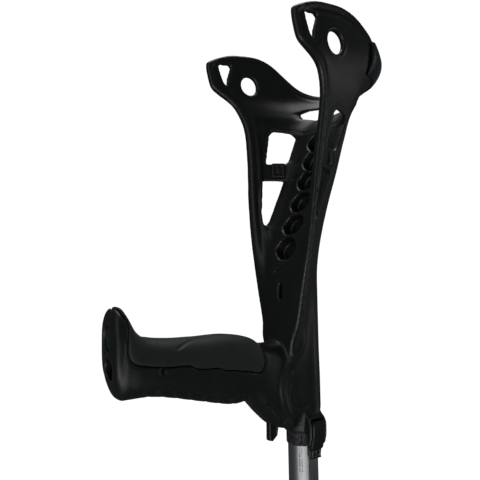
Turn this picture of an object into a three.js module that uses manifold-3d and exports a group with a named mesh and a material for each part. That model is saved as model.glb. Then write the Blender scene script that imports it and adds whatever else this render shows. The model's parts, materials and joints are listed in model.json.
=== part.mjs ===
// A forearm crutch: one moulded upper frame (cuff, trough, handle and tube socket in one piece),
// a soft grip pad, a drilled aluminium leg that slides in the socket, a side lever whose peg locks it,
// and a rubber ferrule. Millimetres, +Z up. The origin is the centre of the ferrule's foot,
// the handle points along -X and the lever is on the -Y side.
import * as THREE from 'three';
import { mergeVertices } from 'three/addons/utils/BufferGeometryUtils.js';
import Module from 'manifold-3d';

const wasm = await Module();
wasm.setup();

// ---- driving dimensions ----
const mouthHeight = 774;          // foot to the socket's mouth
const gap = 0.3;                  // clearance between pieces that touch
const runningGap = 0.25;          // clearance of the leg in its bushes

const tubeRadius = 11;
const tubeWall = 1.4;
const tubeAboveMouth = 68;        // how far the leg reaches up into the socket
const holeRadius = 3.4;
const holePitch = 25;
const holeCount = 10;
const pegDrop = 13;               // peg's height below the mouth

const socketDepth = 123.5;
const bushWall = 0.8;
const bushCollar = 9.5;           // bush showing below the mouth
const bushSleeve = 28;
const socketWall = 1.3;
const housingHeight = 60;         // round part of the socket, from the mouth up

const wallThickness = 4.2;        // trough and cuff walls
const sideReach = 80;             // how far cutting shapes run out past both walls

const handleReach = 150;          // leg's axis to the end of the handle
const gripHalfWidth = 15.5;
const padThickness = 4;
const padSideThickness = 2.6;

const leverHalfWidth = 5.8;
const earThickness = 1.6;
const pivotHeight = 6;            // lever pin above the mouth
const pivotClearance = 2.7;       // lever pin from the socket's skin
const pinRadius = 1;
const pegRadius = 2.5;
const pegSeat = 1.1;              // peg's outer end, out from the socket's skin
const pegReach = 2.6;             // how deep the peg goes into the leg

const ferruleHeight = 46;
const ferruleRadius = 20;
const ferruleFloor = 8;
const washerThickness = 1.5;

const round = 36;                 // sides of a full circle
const sliver = 0.04;              // slivers thinner than this are left out of a finished piece

// ---- finishes ----
const finishes = {
  moulded: { color: 0x17191a, roughness: 0.5, metalness: 0 },
  softGrip: { color: 0x23272a, roughness: 0.85, metalness: 0 },
  insert: { color: 0x0d0e10, roughness: 0.25, metalness: 0 },
  reflector: { color: 0x16262e, roughness: 0.15, metalness: 0 },
  anodised: { color: 0xb4b6b8, roughness: 0.38, metalness: 1 },
  bush: { color: 0x2a2a2e, roughness: 0.55, metalness: 0 },
  steel: { color: 0x9a9da0, roughness: 0.3, metalness: 1 },
  rubber: { color: 0x1b1b1b, roughness: 0.9, metalness: 0 },
};
const materials = Object.fromEntries(
  Object.entries(finishes).map(([name, look]) => [name, new THREE.MeshStandardMaterial(look)]),
);

// ---- solids from three.js geometry ----
function solid(geometry) {
  geometry.deleteAttribute('normal');
  geometry.deleteAttribute('uv');
  const merged = mergeVertices(geometry, 1e-4);
  const triVerts = new Uint32Array(merged.index.array);
  const vertProperties = new Float32Array(merged.attributes.position.array);
  const made = new wasm.Manifold(new wasm.Mesh({ numProp: 3, vertProperties, triVerts }));
  if (made.volume() > 0) return made;
  for (let i = 0; i < triVerts.length; i += 3) {
    [triVerts[i], triVerts[i + 1]] = [triVerts[i + 1], triVerts[i]];
  }
  return new wasm.Manifold(new wasm.Mesh({ numProp: 3, vertProperties, triVerts }));
}

function meshOf(name, body, finish) {
  const out = body.setTolerance(sliver).getMesh();
  const geometry = new THREE.BufferGeometry();
  geometry.setAttribute('position', new THREE.BufferAttribute(new Float32Array(out.vertProperties), 3));
  geometry.setIndex(new THREE.BufferAttribute(new Uint32Array(out.triVerts), 1));
  geometry.computeVertexNormals();
  const mesh = new THREE.Mesh(geometry, materials[finish]);
  mesh.name = name;
  return mesh;
}

function box(low, high) {
  const size = high.map((value, i) => value - low[i]);
  const geometry = new THREE.BoxGeometry(...size);
  return solid(geometry.translate(...low.map((value, i) => value + size[i] / 2)));
}

function cylinderZ(radius, bottom, top, sides = round) {
  const geometry = new THREE.CylinderGeometry(radius, radius, top - bottom, sides).rotateX(Math.PI / 2);
  return solid(geometry.translate(0, 0, (top + bottom) / 2));
}

// a cylinder from point a to point b along X or Y
function rod(radius, a, b, sides = 24) {
  const from = new THREE.Vector3(...a);
  const to = new THREE.Vector3(...b);
  const geometry = new THREE.CylinderGeometry(radius, radius, from.distanceTo(to), sides);
  const turn = new THREE.Quaternion().setFromUnitVectors(
    new THREE.Vector3(0, 1, 0),
    to.clone().sub(from).normalize(),
  );
  geometry.applyQuaternion(turn);
  return solid(geometry.translate(...from.add(to).multiplyScalar(0.5).toArray()));
}

function ring(outer, inner, bottom, top) {
  return cylinderZ(outer, bottom, top).subtract(cylinderZ(inner, bottom - 1, top + 1));
}

// a profile of [radius, height] points turned about the Z axis
function turned(profile) {
  const points = profile.map(([r, z]) => new THREE.Vector2(r, z));
  return solid(new THREE.LatheGeometry(points, round).rotateX(Math.PI / 2));
}

// an outline, as [across, up] points or a Shape, pushed out of its plane by a basis and an offset
function pushed(outline, depth, basis, offset) {
  const shape = outline instanceof THREE.Shape
    ? outline
    : new THREE.Shape(outline.map(([a, b]) => new THREE.Vector2(a, b)));
  const geometry = new THREE.ExtrudeGeometry(shape, { depth, bevelEnabled: false, curveSegments: 8 });
  return solid(geometry.applyMatrix4(basis).translate(...offset));
}

const X = new THREE.Vector3(1, 0, 0);
const Y = new THREE.Vector3(0, 1, 0);
const Z = new THREE.Vector3(0, 0, 1);

// an [x, z] outline pushed from y = from to y = to
function acrossY(outline, from, to) {
  return pushed(outline, to - from, new THREE.Matrix4().makeBasis(X, Z, Y.clone().negate()), [0, to, 0]);
}

// a [y, z] outline pushed from x = from to x = to
function alongX(outline, from, to) {
  return pushed(outline, to - from, new THREE.Matrix4().makeBasis(Y, Z, X), [from, 0, 0]);
}

// a smooth closed outline through a few points
function smooth(points, steps = 36) {
  const curve = new THREE.CatmullRomCurve3(points.map(([a, b]) => new THREE.Vector3(a, b, 0)), true);
  return curve.getPoints(steps).slice(0, -1).map((p) => [p.x, p.y]);
}

// a closed skin through convex rings of Vector3 that all have the same number of points
function loft(rings) {
  const count = rings[0].length;
  const vertices = rings.flat();
  const index = [];
  for (let r = 0; r + 1 < rings.length; r += 1) {
    for (let i = 0; i < count; i += 1) {
      const a = r * count + i;
      const b = r * count + ((i + 1) % count);
      index.push(a, b, a + count, b, b + count, a + count);
    }
  }
  for (const [ring, start, first] of [[rings[0], 0, true], [rings.at(-1), (rings.length - 1) * count, false]]) {
    const centre = ring.reduce((sum, p) => sum.add(p), new THREE.Vector3()).divideScalar(count);
    vertices.push(centre);
    for (let i = 0; i < count; i += 1) {
      const a = start + i;
      const b = start + ((i + 1) % count);
      index.push(...(first ? [b, a, vertices.length - 1] : [a, b, vertices.length - 1]));
    }
  }
  const geometry = new THREE.BufferGeometry();
  geometry.setAttribute('position', new THREE.Float32BufferAttribute(vertices.flatMap((p) => p.toArray()), 3));
  geometry.setIndex(index);
  return solid(geometry);
}

// rows of [station, values...] read smoothly at any station between the first and the last
function table(rows) {
  const width = rows[0].length - 1;
  const stations = rows.map((row) => row[0]);
  const reader = new THREE.CubicInterpolant(stations, rows.flatMap((row) => row.slice(1)), width);
  return (station) => Array.from(reader.evaluate(station));
}

// ---- radii round the leg ----
const bushBore = tubeRadius + runningGap;
const bushRadius = bushBore + bushWall;
const mouthBore = bushRadius + runningGap;
const housingRadius = mouthBore + socketWall;

// ---- the trough and the cuff ----
// Heights here are above the mouth. Each row is one level of the outer skin: height, half width of
// the wall at the front, back of the skin, half width at the back and corner radius there.
const frontX = -18;
const outerSkin = table([
  [40, housingRadius - 0.2, housingRadius, housingRadius - 0.2, housingRadius - 0.8],
  [62, 16.1, housingRadius, housingRadius - 0.2, housingRadius - 0.8],
  [80, 20.4, housingRadius + 0.2, housingRadius, housingRadius - 0.8],
  [105, 26.2, 15, 14.6, 12.4],
  [135, 33.7, 17.8, 16.8, 12],
  [165, 39.3, 23.2, 20.6, 12],
  [190, 42.6, 28.2, 25, 12],
  [215, 46.3, 34, 28.8, 13],
  [236, 49.8, 41, 33, 16],
  [250, 51.9, 50, 40, 26],
  [263, 53.8, 62, 49, 44],
  [282, 54.2, 67, 51.2, 49],
  [306, 54.5, 68.5, 51.8, 49.5],
]);
// The hollow: height, front face of the floor and the corner radius where it meets the walls.
const hollow = table([
  [84, -21, 5],
  [108, -18, 5],
  [134, -12.5, 6],
  [160, -1.5, 7],
  [190, 11.5, 8],
  [215, 20.5, 9],
  [236, 30.5, 12],
  [250, 44, 22],
  [263, 57, 40],
  [282, 61.8, 45],
  [306, 62.8, 46],
]);
const [skinFrom, hollowFrom, skinTo] = [40, 84, 306];
const openFront = -90;            // the skins run out past the front, where the side outline cuts them

// the outer wall at one height: how fast it spreads forwards, and its half width at any x
function wallAt(height) {
  const [frontHalf, back, backHalf, corner] = outerSkin(height);
  const spread = (frontHalf - backHalf) / (back - corner - frontX);
  return { spread, halfAt: (x) => backHalf + spread * (back - corner - x) };
}

// a horseshoe outline at one height: open front, slanting walls, rounded corners and a flat back
function horseshoe(height, front, spread, back, backHalf, corner) {
  const pull = corner * 0.55;
  const bend = new THREE.CubicBezierCurve(
    new THREE.Vector2(back - corner, backHalf),
    new THREE.Vector2(back - corner + pull, backHalf - spread * pull),
    new THREE.Vector2(back, backHalf - corner + pull),
    new THREE.Vector2(back, backHalf - corner),
  );
  const openHalf = backHalf + spread * (back - corner - front);
  const half = [new THREE.Vector2(front, openHalf), ...bend.getPoints(7)];
  const other = half.map((p) => new THREE.Vector2(p.x, -p.y)).reverse();
  return [...half, ...other].map((p) => new THREE.Vector3(p.x, p.y, mouthHeight + height));
}

function outerLevel(height, grow = 0) {
  const [, back, backHalf, corner] = outerSkin(height);
  return horseshoe(height, openFront, wallAt(height).spread, back + grow, backHalf + grow, corner + grow);
}

function hollowLevel(height) {
  const [floor, corner] = hollow(height);
  const { spread, halfAt } = wallAt(height);
  const innerHalf = halfAt(floor - corner) - wallThickness * Math.hypot(1, spread);
  return horseshoe(height, openFront - 5, spread, floor, innerHalf, corner);
}

function levels(from, to, step) {
  const count = Math.round((to - from) / step);
  return Array.from({ length: count + 1 }, (_, i) => from + ((to - from) * i) / count);
}

// side outline of trough and cuff, as [x, height]
const sideOutline = [
  [-14, 40], [-19, 62], [-18.5, 80], [-20.2, 100], [-20, 120], [-19.3, 145], [-18.2, 175], [-16.2, 205],
  [-15.4, 228], [-17, 240], [-21.5, 250.5], [-27, 256], [-34.5, 260.5], [-41.5, 265.5], [-44.5, 273],
  [-46.3, 283], [-44, 287.5], [-28, 294.8], [-12, 297.6], [2, 298], [15, 294.5], [28, 286.5], [42, 275],
  [56, 267], [72, 263], [72, 40],
];

const wingTriangle = [[-36, 284], [-33.5, 286.3], [-25.5, 286.8], [-24, 285], [-27, 276], [-28, 268.5],
  [-31.5, 272]];
const wingHole = { x: -7, height: 272, radius: 7.6 };
const upperWindow = [[-2.4, 204], [3.4, 228.5], [7.5, 232], [21, 230.5], [24.5, 226.5], [15.5, 206.5],
  [13, 204]];
const lowerWindow = [[-6.2, 189], [-8.6, 178], [-10.8, 163], [-10.8, 154.5], [-9, 152.5], [-6, 156], [1, 172],
  [9, 189]];
const halfMoon = [[-34.5, 250], [-30.5, 245.4], [-17, 241.2], [0, 239.5], [17, 241.2], [30.5, 245.4],
  [34.5, 250], [31, 252.8], [-31, 252.8]];
const halfMoonFrom = 20;          // well inside the cuff, so that only its back is cut

function lifted(points) {
  return points.map(([a, height]) => [a, mouthHeight + height]);
}

// the row of lozenge pockets up the trough's floor
const floorLean = THREE.MathUtils.degToRad(21.5);
const pocketHeights = [134, 152, 169.5, 187, 203.5, 219];
const pocketHalf = { across: 11.5, shoulder: 5.5, up: 7.8, depth: 8 };

function pocket(height) {
  const { across, shoulder, up, depth } = pocketHalf;
  const lozenge = smooth([[-across, 0], [-shoulder, up], [shoulder, up], [across, 0], [shoulder, -up],
    [-shoulder, -up]], 24);
  const [floor] = hollow(height);
  return alongX(lozenge, -depth, depth)
    .rotate([0, THREE.MathUtils.radToDeg(floorLean), 0])
    .translate([floor, 0, mouthHeight + height]);
}

// outer skin and hollow, both cut to the side outline
function trough() {
  const skin = loft(levels(skinFrom, skinTo, 9).map((height) => outerLevel(height)));
  const hollowLevels = levels(hollowFrom, skinTo, 8).map((height) => hollowLevel(height));
  const above = hollowLevels.at(-1).map((p) => p.clone().setZ(p.z + 10));
  const side = acrossY(lifted(sideOutline), -sideReach, sideReach);
  let walls = skin.subtract(loft([...hollowLevels, above])).intersect(side);
  for (const outline of [wingTriangle, upperWindow, lowerWindow]) {
    walls = walls.subtract(acrossY(lifted(outline), -sideReach, sideReach));
  }
  const hole = [wingHole.x, mouthHeight + wingHole.height];
  walls = walls.subtract(rod(wingHole.radius, [hole[0], -sideReach, hole[1]], [hole[0], sideReach, hole[1]]));
  walls = walls.subtract(alongX(lifted(halfMoon), halfMoonFrom, sideReach));
  for (const height of pocketHeights) walls = walls.subtract(pocket(height));
  return walls;
}

// ---- the handle ----
// It is drawn to its standard reach; beyond its root its places along X stretch with the reach asked for.
const drawnReach = 150;
const gripRoot = -50;
const stretch = (handleReach + gripRoot) / (drawnReach + gripRoot);
const along = (x) => gripRoot + (x - gripRoot) * stretch;
// Each row is one section: place along X, underside, top and half width, heights above the mouth.
const handle = table([
  [along(-150), 70, 88, gripHalfWidth * 0.45],
  [along(-148.6), 58, 93.6, gripHalfWidth * 0.74],
  [along(-146), 48, 97.2, gripHalfWidth * 0.89],
  [along(-143), 43.8, 98.4, gripHalfWidth * 0.955],
  [along(-139.5), 43.4, 94, gripHalfWidth - 0.3],
  [along(-135), 43.4, 85.5, gripHalfWidth],
  [along(-130), 43.4, 80.5, gripHalfWidth],
  [along(-123), 42.8, 78.4, gripHalfWidth],
  [along(-110), 40.2, 76.6, gripHalfWidth],
  [along(-90), 35, 75.8, gripHalfWidth + 0.4],
  [along(-65), 29, 75.2, gripHalfWidth + 0.4],
  [-50, 27.5, 73, gripHalfWidth - 0.2],
  [-40, 17, 70.2, 14.6],
  [-30, 8, 69, 13.6],
  [-18, 4, 69, 13],
  [-6, 1.2, 68, 12],
]);

// a rounded section across the handle
function handleRing(x, dropTop = 0, dropSide = 0) {
  const [low, high, half] = handle(x);
  const middle = (low + high - dropTop) / 2;
  const tall = (high - dropTop - low) / 2;
  const wide = half - dropSide;
  const squareness = 2 / 2.9;
  return Array.from({ length: 24 }, (_, i) => {
    const angle = (i / 24) * Math.PI * 2;
    const y = wide * Math.sign(Math.cos(angle)) * Math.abs(Math.cos(angle)) ** squareness;
    const z = tall * Math.sign(Math.sin(angle)) * Math.abs(Math.sin(angle)) ** squareness;
    return new THREE.Vector3(x, y, mouthHeight + middle + z);
  });
}

// stations of the sections, from and to being places on the handle as drawn
function handleStations(from, to) {
  const tip = [-150, -149.5, -148.6, -147, -145, -143, -140.5, -138, -135, -132, -129];
  const rest = levels(-125, -6, 8.5);
  const drawn = [...tip, ...rest].filter((x) => x >= from && x <= to);
  return drawn.map((x) => (x < gripRoot ? along(x) : x));
}

// the soft pad's side outline, as [x, height]; it laps over the top and both sides of the handle
const padOutline = [
  [-139.5, 104], [-140.5, 90], [-141.5, 78], [-141.5, 71], [-137, 65.2], [-121.6, 62], [-112, 61],
  [-100.7, 60.2], [-96.5, 57.8], [-82, 56.7], [-76, 54.3], [-65.2, 52.6], [-56, 51], [-47.4, 49.5],
  [-43.3, 55.8], [-43.5, 62], [-45, 70], [-47, 80], [-47, 104],
].map(([x, height]) => [x < gripRoot ? along(x) : x, height]);

// the same outline moved inwards by a distance
function inset(points, distance) {
  const at = points.map(([a, b]) => new THREE.Vector2(a, b));
  const inward = THREE.ShapeUtils.isClockWise(at) ? -1 : 1;
  return at.map((p, i) => {
    const before = at[(i + at.length - 1) % at.length];
    const after = at[(i + 1) % at.length];
    const turn = after.clone().sub(before).normalize();
    return [p.x - turn.y * distance * inward, p.y + turn.x * distance * inward];
  });
}

const handleEnd = -handleReach;
const endRecess = { height: 80, half: [5.8, 7.8], floorX: handleEnd + 4.4 };
const endHole = { height: 62, radius: 6.4, floorX: handleEnd + 42 };
const crossPin = { x: handleEnd + 30, height: 59.5, radius: 1.6 };

function oval(half, middleHeight, grow = 0) {
  const shape = new THREE.Shape();
  shape.absellipse(0, mouthHeight + middleHeight, half[0] + grow, half[1] + grow, 0, Math.PI * 2);
  return shape;
}

function handleBody() {
  const whole = loft(handleStations(-150, -6).map((x) => handleRing(x)));
  const core = loft(handleStations(-142, -24).map((x) => handleRing(x, padThickness, padSideThickness)));
  const end = alongX(oval(endRecess.half, endRecess.height), handleEnd - 10, endRecess.floorX);
  const holeZ = mouthHeight + endHole.height;
  const pinZ = mouthHeight + crossPin.height;
  return whole
    .subtract(acrossY(lifted(padOutline), -sideReach, sideReach))
    .add(core)
    .subtract(end)
    .subtract(rod(endHole.radius, [handleEnd - 10, 0, holeZ], [endHole.floorX, 0, holeZ]))
    .subtract(rod(crossPin.radius + gap, [crossPin.x, -sideReach, pinZ], [crossPin.x, sideReach, pinZ]));
}

function gripPad() {
  const whole = loft(handleStations(-150, -6).map((x) => handleRing(x)));
  const [drop, narrow] = [padThickness - gap, padSideThickness - gap];
  const core = loft(handleStations(-146, -20).map((x) => handleRing(x, drop, narrow)));
  return whole.intersect(acrossY(lifted(inset(padOutline, gap)), -sideReach, sideReach)).subtract(core);
}

function gripPin() {
  const half = gripHalfWidth - 0.6;
  const z = mouthHeight + crossPin.height;
  return rod(crossPin.radius, [crossPin.x, -half, z], [crossPin.x, half, z]);
}

function frontReflector() {
  return alongX(oval(endRecess.half, endRecess.height, -gap), endRecess.floorX - 3.2, endRecess.floorX - gap);
}

// ---- the socket and the lever's ears ----
const pivotZ = mouthHeight + pivotHeight;
const pivotOut = housingRadius + pivotClearance;
const leverHead = pivotClearance - gap;
// as [distance out from the socket's skin, height above the mouth]
const earOutline = [
  [-3.1, 15], [0.4, 13], [4, 9.5], [5, 4], [4.4, -3], [3, -7.5], [1.4, -8.8], [-0.4, -8.4], [-0.7, -gap],
  [-3.1, -gap],
];

// such an outline on the lever's side of the socket, as [y, height]
function onLeverSide(outline) {
  return outline.map(([out, height]) => [-housingRadius - out, height]).reverse();
}

function ears() {
  const inner = leverHalfWidth + gap;
  const outer = inner + earThickness;
  const outline = lifted(onLeverSide(earOutline));
  return alongX(outline, -outer, -inner)
    .add(alongX(outline, inner, outer))
    .subtract(rod(pinRadius + gap, [-outer - 1, -pivotOut, pivotZ], [outer + 1, -pivotOut, pivotZ]));
}

const belowMouth = [[-sideReach, 0], [sideReach, 0], [sideReach, -20], [-sideReach, -20]];
const hookSlot = { from: -32.4, to: -23.4, half: 2.6, top: 16 };

function upperFrame() {
  const housing = cylinderZ(housingRadius, mouthHeight, mouthHeight + housingHeight);
  let frame = trough().add(handleBody()).add(housing);
  frame = frame.subtract(acrossY(lifted(belowMouth), -sideReach, sideReach)).add(ears());
  frame = frame
    .subtract(cylinderZ(mouthBore, mouthHeight - 20, mouthHeight + bushSleeve + gap))
    .subtract(cylinderZ(tubeRadius + runningGap + gap, mouthHeight, mouthHeight + socketDepth));
  const slotLow = [hookSlot.from, -hookSlot.half, mouthHeight - 10].map((v, i) => (i < 2 ? v - gap : v));
  const slotHigh = [hookSlot.to + gap, hookSlot.half + gap, mouthHeight + hookSlot.top + gap];
  frame = frame.subtract(box(slotLow, slotHigh));
  for (const side of [-1, 1]) frame = frame.subtract(sideInsertBlock(side, gap));
  return frame;
}

// ---- pieces fixed to the frame ----
const insert = { x: 6.5, height: 198, length: 10.6, tall: 11.6, inside: 6.2, outside: 1.4 };

// a block through the side bar, square to the slanting wall; side is -1 or +1
function sideInsertBlock(side, grow = 0) {
  const { spread, halfAt } = wallAt(insert.height);
  const turn = THREE.MathUtils.radToDeg(Math.atan(spread));
  const block = box(
    [-insert.length / 2 - grow, -insert.inside - grow, -insert.tall / 2 - grow],
    [insert.length / 2 + grow, insert.outside + grow, insert.tall / 2 + grow],
  ).rotate([0, 0, -turn]).translate([insert.x, halfAt(insert.x), mouthHeight + insert.height]);
  return side > 0 ? block : block.mirror([0, 1, 0]);
}

const strip = { low: 258, high: 281, thickness: 2.2, fromX: 30 };

// a curved strip round the back of the cuff
function rearReflector() {
  const heights = levels(strip.low - 4, strip.high + 4, 4);
  const outside = loft(heights.map((height) => outerLevel(height, gap + strip.thickness)));
  const inside = loft(heights.map((height) => outerLevel(height, gap)));
  const band = box(
    [strip.fromX, -sideReach, mouthHeight + strip.low],
    [strip.fromX + sideReach, sideReach, mouthHeight + strip.high],
  );
  const above = lifted([[30, 400], [30, 283.5], [42, 274.5], [56, 267.5], [90, 263], [90, 400]]);
  return outside.subtract(inside).intersect(band).subtract(acrossY(above, -sideReach, sideReach));
}

function pairingHook() {
  const outline = [[-32, 15], [-32.2, -2.8], [-29, -3.6], [-24.8, 0], [-23.6, 5.6], [-23.7, 15]];
  return acrossY(lifted(outline), -hookSlot.half, hookSlot.half);
}

// ---- the height lock ----
const spring = { radius: 1.6, wireRadius: 0.25, length: 4.2, turns: 3 };
const springCover = { inner: 4.85, outer: 5.8, top: 9 };
const leverOutline = [
  [gap + 0.05, 5.5], [gap + 0.05, -0.6], [-0.9, -1.4], [-0.9, -10.4], [-1.6, -11], [-1.7, -17], [-0.9, -18],
  [1.5, -17.8], [2.6, -12], [4, -6.5], [springCover.outer - 0.3, -1], [springCover.outer, 6],
  [springCover.outer - 0.3, springCover.top], [springCover.inner, springCover.top], [springCover.inner, 6],
];

function adjusterLever() {
  const head = rod(leverHead, [-leverHalfWidth, -pivotOut, pivotZ], [leverHalfWidth, -pivotOut, pivotZ]);
  const pegZ = mouthHeight - pegDrop;
  const roomFront = -housingRadius - springCover.inner;
  const roomHalf = spring.length / 2 + 2 * gap;
  const springRoom = box([-roomHalf, roomFront, pivotZ - leverHead - gap], [roomHalf, 0, pivotZ + 10]);
  return alongX(lifted(onLeverSide(leverOutline)), -leverHalfWidth, leverHalfWidth)
    .add(head)
    .subtract(rod(pinRadius + gap, [-20, -pivotOut, pivotZ], [20, -pivotOut, pivotZ]))
    .subtract(springRoom)
    .subtract(rod(pegRadius + gap, [0, -housingRadius - pegSeat - gap, pegZ], [0, 0, pegZ]));
}

function lockingPeg() {
  const z = mouthHeight - pegDrop;
  return rod(pegRadius, [0, -housingRadius - pegSeat, z], [0, pegReach - tubeRadius, z]);
}

function leverPin() {
  const half = leverHalfWidth + gap + earThickness - 0.2;
  return rod(pinRadius, [-half, -pivotOut, pivotZ], [half, -pivotOut, pivotZ]);
}

class Coil extends THREE.Curve {
  constructor(radius, length, turns) {
    super();
    Object.assign(this, { radius, length, turns });
  }

  getPoint(t, target = new THREE.Vector3()) {
    const angle = t * this.turns * Math.PI * 2;
    return target.set((t - 0.5) * this.length, Math.cos(angle) * this.radius, Math.sin(angle) * this.radius);
  }
}

function leverSpring() {
  const wire = new THREE.Shape();
  wire.absarc(0, 0, spring.wireRadius, 0, Math.PI * 2);
  const path = new Coil(spring.radius, spring.length, spring.turns);
  const geometry = new THREE.ExtrudeGeometry(wire, { steps: 40, curveSegments: 3, extrudePath: path });
  return solid(geometry.translate(0, -pivotOut, pivotZ));
}

// ---- the leg ----
const tubeBottom = ferruleFloor + washerThickness + 2 * gap;
const tubeTop = mouthHeight + tubeAboveMouth;

function legTube() {
  let tube = ring(tubeRadius, tubeRadius - tubeWall, tubeBottom, tubeTop);
  const peg = mouthHeight - pegDrop;
  const highest = peg + holePitch * Math.floor((tubeTop - peg - 2 * holeRadius) / holePitch);
  for (let i = 0; i < holeCount; i += 1) {
    const z = highest - i * holePitch;
    tube = tube.subtract(rod(holeRadius, [0, -tubeRadius - 1, z], [0, tubeRadius + 1, z], 16));
  }
  return tube;
}

function tubeCap() {
  const inner = tubeRadius - tubeWall - gap;
  return turned([[0, tubeTop - 3], [inner, tubeTop - 3], [inner, tubeTop + gap], [tubeRadius, tubeTop + gap],
    [tubeRadius, tubeTop + 2], [tubeRadius - 1.2, tubeTop + 3], [0, tubeTop + 3]]);
}

function mouthBush() {
  return ring(bushRadius, bushBore, mouthHeight - bushCollar, mouthHeight + bushSleeve);
}

function ferrule() {
  const neck = 14;
  const bore = tubeRadius + gap;
  return turned([[0, 0], [ferruleRadius - 1.5, 0], [ferruleRadius, 1.5], [ferruleRadius, 6.5],
    [ferruleRadius - 2.5, 10], [neck + 0.8, 17], [neck, 24], [neck, ferruleHeight - 5],
    [neck + 0.8, ferruleHeight - 4], [neck + 0.8, ferruleHeight - 1], [neck, ferruleHeight],
    [bore, ferruleHeight], [bore, ferruleFloor], [0, ferruleFloor]]);
}

function ferruleWasher() {
  return cylinderZ(tubeRadius - gap, ferruleFloor + gap, ferruleFloor + gap + washerThickness);
}

// ---- the crutch ----
const crutch = new THREE.Group();
const pieces = [
  ['upper_frame', upperFrame(), 'moulded'],
  ['grip_pad', gripPad(), 'softGrip'],
  ['grip_pin', gripPin(), 'steel'],
  ['front_reflector', frontReflector(), 'reflector'],
  ['rear_reflector', rearReflector(), 'reflector'],
  ['side_insert_left', sideInsertBlock(-1), 'insert'],
  ['side_insert_right', sideInsertBlock(1), 'insert'],
  ['pairing_hook', pairingHook(), 'moulded'],
  ['mouth_bush', mouthBush(), 'bush'],
  ['adjuster_lever', adjusterLever(), 'moulded'],
  ['locking_peg', lockingPeg(), 'steel'],
  ['lever_pin', leverPin(), 'steel'],
  ['lever_spring', leverSpring(), 'steel'],
  ['leg_tube', legTube(), 'anodised'],
  ['tube_cap', tubeCap(), 'bush'],
  ['ferrule', ferrule(), 'rubber'],
  ['ferrule_washer', ferruleWasher(), 'steel'],
];
for (const [name, body, finish] of pieces) crutch.add(meshOf(name, body, finish));

export default crutch;
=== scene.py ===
"""A forearm crutch: a black moulded frame with cuff, trough, handle and socket in one,
a soft grip pad, a drilled aluminium leg locked by a side lever, and a rubber ferrule."""
import json
import math

import bmesh
import bpy
import numpy as np
from mathutils import Matrix, Vector


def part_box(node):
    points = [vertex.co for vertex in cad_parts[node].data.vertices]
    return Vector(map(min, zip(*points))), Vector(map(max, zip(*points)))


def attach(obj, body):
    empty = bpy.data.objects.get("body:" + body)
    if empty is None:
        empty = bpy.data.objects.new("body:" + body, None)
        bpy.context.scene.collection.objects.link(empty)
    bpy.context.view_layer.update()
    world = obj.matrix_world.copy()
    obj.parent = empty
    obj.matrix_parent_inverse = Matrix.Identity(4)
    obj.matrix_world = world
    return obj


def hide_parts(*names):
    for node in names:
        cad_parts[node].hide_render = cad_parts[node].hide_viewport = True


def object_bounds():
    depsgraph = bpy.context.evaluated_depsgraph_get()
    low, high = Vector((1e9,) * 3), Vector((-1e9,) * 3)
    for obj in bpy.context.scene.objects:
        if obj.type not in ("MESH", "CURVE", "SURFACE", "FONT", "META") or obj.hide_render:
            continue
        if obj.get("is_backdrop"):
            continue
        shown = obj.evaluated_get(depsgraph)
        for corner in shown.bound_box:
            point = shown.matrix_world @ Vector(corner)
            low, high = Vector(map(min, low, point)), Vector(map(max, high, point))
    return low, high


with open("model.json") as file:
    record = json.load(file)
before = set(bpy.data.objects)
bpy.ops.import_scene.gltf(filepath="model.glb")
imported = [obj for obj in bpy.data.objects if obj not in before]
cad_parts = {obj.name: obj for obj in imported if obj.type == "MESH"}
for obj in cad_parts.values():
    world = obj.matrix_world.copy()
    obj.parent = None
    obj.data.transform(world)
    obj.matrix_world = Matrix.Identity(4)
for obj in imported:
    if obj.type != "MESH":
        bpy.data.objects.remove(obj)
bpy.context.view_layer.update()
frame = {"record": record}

# ---------------------------------------------------------------------------------------------
# Camera, stage and light
# The camera stands low beside the handle and looks at the upper half of the crutch.
# A pale floor runs up into a white cove; four soft boxes and a weak sky light the black plastic.
# ---------------------------------------------------------------------------------------------
turn, lift, roll = (math.radians(angle) for angle in (-33.8, -2.6, -1.1))
back = Vector((math.sin(turn) * math.cos(lift), -math.cos(turn) * math.cos(lift), math.sin(lift)))
level = Vector((math.cos(turn), math.sin(turn), 0))
upright = back.cross(level)
across = math.cos(roll) * level + math.sin(roll) * upright
above = math.cos(roll) * upright - math.sin(roll) * level
camera = bpy.data.objects.new("camera", bpy.data.cameras.new("camera"))
camera.data.lens = 39
camera.data.sensor_width = 36
camera.data.clip_start = 0.01
camera.data.clip_end = 60
camera.matrix_world = Matrix((across, above, back)).transposed().to_4x4()
camera.location = (-0.2555, -0.3028, 0.8972)
bpy.context.collection.objects.link(camera)
bpy.context.scene.camera = camera
bpy.context.scene.view_settings.view_transform = "Standard"


def linear(hex_colour, alpha=1.0):
    """An sRGB hex colour as the linear colour that shaders take."""
    parts = [int(hex_colour[i : i + 2], 16) / 255 for i in (1, 3, 5)]
    return [p / 12.92 if p <= 0.04045 else ((p + 0.055) / 1.055) ** 2.4 for p in parts] + [alpha]


def add_node(tree, kind, settings=None, **inputs):
    """Adds a node, sets its properties, then sets or links its inputs, named or numbered as in_N."""
    node = tree.nodes.new(kind)
    for name, value in (settings or {}).items():
        setattr(node, name, value)
    for name, value in inputs.items():
        key = int(name[3:]) if name.startswith("in_") else name.replace("_", " ").title()
        socket = node.inputs[key]
        if isinstance(value, bpy.types.NodeSocket):
            tree.links.new(value, socket)
        else:
            socket.default_value = value
    return node


def new_material(name):
    """A material; returns it, its tree, its shader and the object's coordinates for textures."""
    material = bpy.data.materials.new(name)
    material.use_nodes = True
    tree = material.node_tree
    place = add_node(tree, "ShaderNodeTexCoord").outputs["Object"]
    return material, tree, tree.nodes["Principled BSDF"], place


def noise(tree, place, scale, detail, **more):
    """Cloudy noise as a value."""
    return add_node(tree, "ShaderNodeTexNoise", vector=place, scale=scale, detail=detail,
                    **more).outputs["Fac"]


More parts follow.
